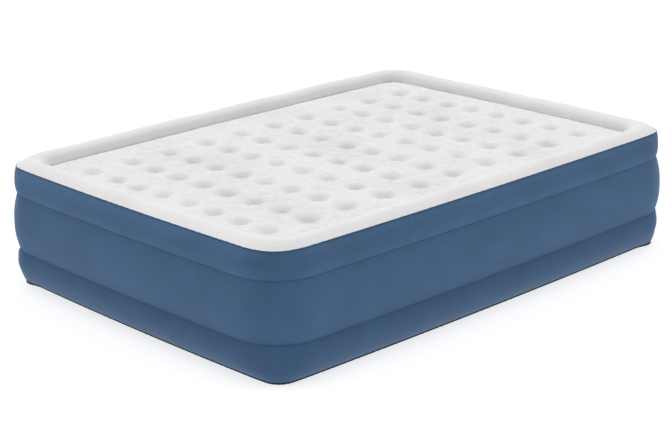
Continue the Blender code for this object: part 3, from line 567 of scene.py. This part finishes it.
def cut_by(made, cutter):
    """Applies the piece's modifiers and a cut, and removes the cutter."""
    boolean = made.modifiers.new("cut", "BOOLEAN")
    boolean.operation = "DIFFERENCE"
    boolean.solver = "EXACT"
    boolean.object = cutter
    graph = bpy.context.evaluated_depsgraph_get()
    graph.update()
    mesh = bpy.data.meshes.new_from_object(made.evaluated_get(graph))
    made.modifiers.clear()
    made.data = mesh
    bpy.data.objects.remove(cutter)
    return made


def bead(name, inset, height, width, depth, seed, look, node, wander=0.0, fill=0.0):
    """A thin welded flange that stands out of a seam and runs right round the bed."""
    edge = waves(ALONG, 260, 8, seed) * wander
    rings = [
        ring(inset + width, height - depth / 2, fill),
        ring(inset - edge, height - depth / 2, fill),
        ring(inset - edge - depth * 0.3, height + edge * 0.3, fill),
        ring(inset - edge, height + depth / 2, fill),
        ring(inset + width, height + depth / 2, fill),
    ]
    return soften(add(name, loop_mesh(name, rings, True), look, BODY, (node,) if node else ()), 60)


def make_wall():
    """Three bands of skin, with a seam at each waist and a welded edge at the top and at the floor."""
    wall_foot, wall_top = (FLOOR_EDGE[0], 0.0020), (WALL_TOP[0], WALL_TOP[1] - 0.0004)
    lower = band("lower_wall", wall_foot, LOWER_WAIST, 0.038, 11, "lower_wall_band", 20,
                 (0.0, WAIST_LIP), floor_fill)
    middle = band("middle_wall", LOWER_WAIST, UPPER_WAIST, 0.0175, 23, "middle_wall_band", 24,
                  (WAIST_LIP, WAIST_LIP), pump=True)
    upper = band("upper_wall", UPPER_WAIST, wall_top, 0.015, 37, "upper_wall_band", 16,
                 (WAIST_LIP, 0.0), top_fill)
    cut_by(middle, cutter_for_pump())
    for made in (lower, middle, upper):
        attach(made, BODY)
    flock, sheet = LOOKS["blue_flock"], LOOKS["navy_pvc"]
    waists = (("upper_waist_seam", UPPER_WAIST, 7), ("lower_waist_seam", LOWER_WAIST, 8))
    for name, (inset, height), seed in waists:
        bead(name, inset - 0.0012, height, 0.0075, 0.0016, seed, flock, None, 0.00025)
    bead("top_edge_seam", WALL_TOP[0] - 0.0014, WALL_TOP[1] + 0.0006, 0.004, 0.0011, 5, flock,
         "top_edge_weld", 0.0006, TOP_CORNER_FILL)
    bead("floor_edge_seam", FLOOR_EDGE[0] - 0.0045, 0.0016, 0.0075, 0.0024, 6, sheet,
         "bottom_edge_weld", 0.0004, FLOOR_CORNER_FILL)


# ---------------------------------------------------------------- top

def make_rim():
    """The raised tube round the sleep surface, puckered where it is welded down."""
    middle, half = (WALL_TOP[0] + RIM_FOOT[0]) / 2, (RIM_FOOT[0] - WALL_TOP[0]) / 2
    outer_foot, inner_foot = WALL_TOP[1] + 0.0012, RIM_FOOT[1] - 0.0036
    rings = []
    steps = 30
    for step in range(steps + 1):
        share = step / steps
        angle = math.pi * share
        foot = outer_foot + (inner_foot - outer_foot) * share
        near = half * min(share, 1 - share) * 3
        pucker = waves(ALONG, 210, 9, 51, 2.0, share) * (0.0006 + 0.0010 * CORNER)
        pucker = pucker * math.exp(-near / 0.016) * (1 - math.exp(-near / 0.004))
        sway = waves(ALONG, 15, 7, 52) * 0.0009 * math.sin(angle)
        tall = CREST_Z - 0.0012 - foot + sway
        round_off = math.sin(angle) if share > 0.5 else 0.10 * math.sin(angle) + 0.90 * math.sin(angle) ** 2
        inset = middle - (half + pucker) * math.cos(angle)
        fill = TOP_CORNER_FILL * (1 + math.cos(angle)) / 2
        rings.append(ring(inset, foot + tall * round_off + pucker * math.sin(angle), fill))
    made = add("comfort_rim_tube", loop_mesh("comfort_rim_tube", rings), LOOKS["white_flock"], BODY,
               ("comfort_rim", "rim_foot_weld"))
    return soften(give_skin(made), 60)


def to_loop(x, y, loop):
    """How far inside a convex loop each point is, and the place on the loop nearest to it."""
    best = np.full(x.shape, np.inf)
    inside, near_x, near_y = (np.zeros_like(x) for _ in range(3))
    for start, end in zip(loop, np.roll(loop, -1, axis=0)):
        run_x, run_y = end - start
        from_x, from_y = x - start[0], y - start[1]
        share = np.clip((from_x * run_x + from_y * run_y) / (run_x**2 + run_y**2), 0, 1)
        away = (from_x - share * run_x) ** 2 + (from_y - share * run_y) ** 2
        closer = away < best
        best[closer] = away[closer]
        near_x[closer] = (start[0] + share * run_x)[closer]
        near_y[closer] = (start[1] + share * run_y)[closer]
        inside[closer] = np.sign(run_x * from_y - run_y * from_x)[closer]
    return inside * np.sqrt(best), near_x, near_y


def dimple_spots():
    """Where the coil tubes draw the top down, read from the CAD rows: (x, y) of each."""
    rows = sorted(name for name in NODES if name.startswith("coil_beam_row"))
    spots = []
    for name in rows:
        low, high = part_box(name)
        radius = (high[0] - low[0]) / 2
        x = (low[0] + high[0]) / 2
        for y in np.linspace(low[1] + radius, high[1] - radius, COILS_PER_ROW):
            spots.append((x, y))
    return spots


def top_height(x, y, inside):
    """The sleep surface's height: pads, dimples and creases, from how far inside its edge a point is."""
    draw = np.random.RandomState(8)
    height = np.full_like(x, RIM_FOOT[1])
    flat = np.ones_like(x)
    for spot_x, spot_y in dimple_spots():
        spot_x += draw.uniform(-0.0025, 0.0025)
        spot_y += draw.uniform(-0.0025, 0.0025)
        radius = DIMPLE_RADIUS * draw.uniform(0.90, 1.10)
        depth = (DIMPLE_DEPTH - TOP_DROP) * draw.uniform(0.80, 0.98)
        away_x, away_y = x - spot_x, y - spot_y
        away = np.hypot(away_x, away_y)
        near = away < 2.2 * radius
        angle = np.arctan2(away_y[near], away_x[near])
        share = away[near] / (radius * (1 - 0.16 * np.cos(angle - draw.uniform(-0.7, 0.7))))
        bowl = np.where(share < 1, (1 - np.minimum(share, 1) ** 2) ** 2.5, 0)
        rays = np.cos(7 * angle + draw.uniform(0, 6)) + 0.7 * np.cos(11 * angle + draw.uniform(0, 6))
        collar = np.exp(-(((share - 0.95) / 0.28) ** 2))
        height[near] += -depth * bowl + collar * (0.0006 + 0.00095 * rays)
        height[near] -= 0.0020 * np.exp(-((away[near] / 0.062) ** 2))
        flat[near] = np.minimum(flat[near], np.clip(share - 0.45, 0.15, 1))
    bend = 0.010 * field(x, y, 0.16, 0.16, 12, 3)
    fold = field(x + bend, y, 0.034, 0.115, 26, 4)
    fine = field(x + 0.5 * bend, y, 0.019, 0.070, 26, 9)
    crease = -np.exp(-((fold / 0.42) ** 2)) * CREASE_DEPTH + FOLD_HEIGHT * fold
    height += flat * (crease + RIPPLE_HEIGHT * fine) * np.clip(inside / 0.03, 0, 1)
    height += SWELL_HEIGHT * field(x, y, 0.42, 0.42, 10, 7) * np.clip(inside / 0.05, 0, 1)
    height -= TOP_DROP * (1 - np.exp(-((np.maximum(inside, 0) / 0.060) ** 2)))
    return height - 0.0030 * np.exp(-np.maximum(inside, 0) / 0.009)


def fitted_grid(loop, cell):
    """A grid of quads inside a convex loop, its edge drawn onto the loop: x, y, how far inside, quads."""
    (low_x, low_y), (high_x, high_y) = loop.min(axis=0) - cell, loop.max(axis=0) + 2 * cell
    xs, ys = np.arange(low_x, high_x, cell), np.arange(low_y, high_y, cell)
    x, y = (grid.ravel() for grid in np.meshgrid(xs, ys, indexing="ij"))
    inside, near_x, near_y = to_loop(x, y, loop)
    index = np.arange(len(x)).reshape(len(xs), len(ys))
    quads = np.stack((index[:-1, :-1], index[1:, :-1], index[1:, 1:], index[:-1, 1:]), -1)
    quads = quads.reshape(-1, 4)
    quads = quads[(inside[quads] > -0.45 * cell).all(axis=1)]
    used, quads = np.unique(quads, return_inverse=True)
    x, y, inside, near_x, near_y = (values[used] for values in (x, y, inside, near_x, near_y))
    on_edge = inside < 0.55 * cell
    x, y = np.where(on_edge, near_x, x), np.where(on_edge, near_y, y)
    return x, y, np.where(on_edge, 0, inside), quads.reshape(-1, 4)


def make_sleep_surface():
    """The dimpled top sheet, whose edge lies just under the rim's foot."""
    x, y, inside, quads = fitted_grid(ring(RIM_FOOT[0] - UNDER_RIM, 0)[:, :2], TOP_CELL)
    z = top_height(x, y, inside - UNDER_RIM)
    made = add("dimpled_top", solid_mesh("dimpled_top", np.column_stack((x, y, z)), quads), CRINKLED, BODY,
               ("sleep_surface",))
    made.data.shade_smooth()
    return give_skin(made)


def make_underside():
    """The bottom sheet, quilted a little by the beams above it."""
    loop = ring(FLOOR_EDGE[0] + 0.0010, 0, FLOOR_CORNER_FILL)[:, :2]
    x, y, inside, quads = fitted_grid(loop, UNDER_CELL)
    quilt = np.abs(np.sin(math.pi * (y / 0.26 + 0.5)))
    crumple = 0.0005 * np.abs(field(x, y, 0.11, 0.06, 20, 61))
    z = 0.0004 + (0.0022 * (1 - quilt) ** 3 + crumple) * np.clip(inside / 0.04, 0, 1)
    made = add("underside_sheet", solid_mesh("underside_sheet", np.column_stack((x, y, z)), quads),
               LOOKS["navy_pvc"], BODY, ("bottom_sheet",))
    made.data.shade_smooth()
    skin = give_skin(made)
    skin.modifiers["skin"].offset = 1
    return skin


# ---------------------------------------------------------------- camera, light and floor

CAMERA_TURN = (-43.228, 18.354, -1.093)  # azimuth, elevation and roll, in degrees
CAMERA_DISTANCE = 6.0145
CAMERA_TARGET = Vector((-0.1254, -0.0859, 0.2))
CAMERA_LENS = 90.81


def make_camera():
    azimuth, elevation, roll = (math.radians(angle) for angle in CAMERA_TURN)
    back = Vector((
        math.sin(azimuth) * math.cos(elevation),
        -math.cos(azimuth) * math.cos(elevation),
        math.sin(elevation),
    ))
    right = Vector((math.cos(azimuth), math.sin(azimuth), 0))
    up = back.cross(right)
    turned_right = right * math.cos(roll) + up * math.sin(roll)
    turned_up = up * math.cos(roll) - right * math.sin(roll)
    data = bpy.data.cameras.new("camera")
    data.sensor_width = 36.0
    data.lens = CAMERA_LENS
    made = bpy.data.objects.new("camera", data)
    bpy.context.scene.collection.objects.link(made)
    place = Matrix.Translation(CAMERA_TARGET + back * CAMERA_DISTANCE)
    made.matrix_world = place @ Matrix((turned_right, turned_up, back)).transposed().to_4x4()
    bpy.context.scene.camera = made


def light_studio(floor):
    """A soft white dome that shows as plain white, and a soft key light from the far side, off the floor."""
    world = bpy.data.worlds.new("studio")
    world.use_nodes = True
    nodes, links = world.node_tree.nodes, world.node_tree.links
    away = nodes.new("ShaderNodeVectorMath")
    away.operation = "DOT_PRODUCT"
    away.inputs[1].default_value = DOME_AXIS
    links.new(nodes.new("ShaderNodeTexCoord").outputs["Generated"], away.inputs[0])
    halved = nodes.new("ShaderNodeMath")
    halved.operation = "MULTIPLY_ADD"
    halved.inputs[1].default_value = halved.inputs[2].default_value = 0.5
    links.new(away.outputs["Value"], halved.inputs[0])
    dome = nodes.new("ShaderNodeValToRGB")
    dome.color_ramp.interpolation = "EASE"
    dome.color_ramp.elements.new(0.5)
    for element, (spot, level) in zip(dome.color_ramp.elements, zip((0.0, 0.5, 1.0), DOME)):
        element.position = spot
        element.color = (level, level, level, 1)
    links.new(halved.outputs["Value"], dome.inputs["Fac"])
    strength = nodes.new("ShaderNodeMix")
    links.new(nodes.new("ShaderNodeLightPath").outputs["Is Camera Ray"], strength.inputs[0])
    links.new(dome.outputs["Color"], strength.inputs[2])
    strength.inputs[3].default_value = DOME_SEEN
    nodes["Background"].inputs["Color"].default_value = (1, 1, 1, 1)
    links.new(strength.outputs[0], nodes["Background"].inputs["Strength"])
    bpy.context.scene.world = world
    data = bpy.data.lights.new("key_light", "SUN")
    data.energy = KEY
    data.angle = math.radians(KEY_ANGLE)
    made = bpy.data.objects.new("key_light", data)
    bpy.context.scene.collection.objects.link(made)
    made.rotation_mode = "QUATERNION"
    azimuth, elevation = math.radians(KEY_FROM[0]), math.radians(KEY_FROM[1])
    towards = Vector((
        -math.sin(azimuth) * math.cos(elevation),
        math.cos(azimuth) * math.cos(elevation),
        -math.sin(elevation),
    ))
    made.rotation_quaternion = towards.to_track_quat("-Z", "Y")
    unlit = bpy.data.collections.new("key_light_receivers")
    unlit.objects.link(floor)
    unlit.collection_objects[0].light_linking.link_state = "EXCLUDE"
    made.light_linking.receiver_collection = unlit


def make_stage():
    """A pale floor that almost vanishes into the background, and the light."""
    corners = [(x * 30, y * 30, -0.0002) for x, y in ((-1, -1), (1, -1), (1, 1), (-1, 1))]
    mesh = solid_mesh("floor", corners, [(0, 1, 2, 3)])
    look = Shader("floor", 0.9)
    look.colour((0.55, 0.55, 0.55))
    look.main.inputs["Emission Color"].default_value = (1, 1, 1, 1)
    look.main.inputs["Emission Strength"].default_value = 0.70
    look.specular(0.1)
    floor = bpy.data.objects.new("floor", mesh)
    mesh.materials.append(look.material)
    bpy.context.scene.collection.objects.link(floor)
    light_studio(floor)
    bpy.context.scene.view_settings.view_transform = "Standard"
    bpy.context.scene.view_settings.look = "None"


make_wall()
make_rim()
make_sleep_surface()
make_underside()
make_camera()
make_stage()
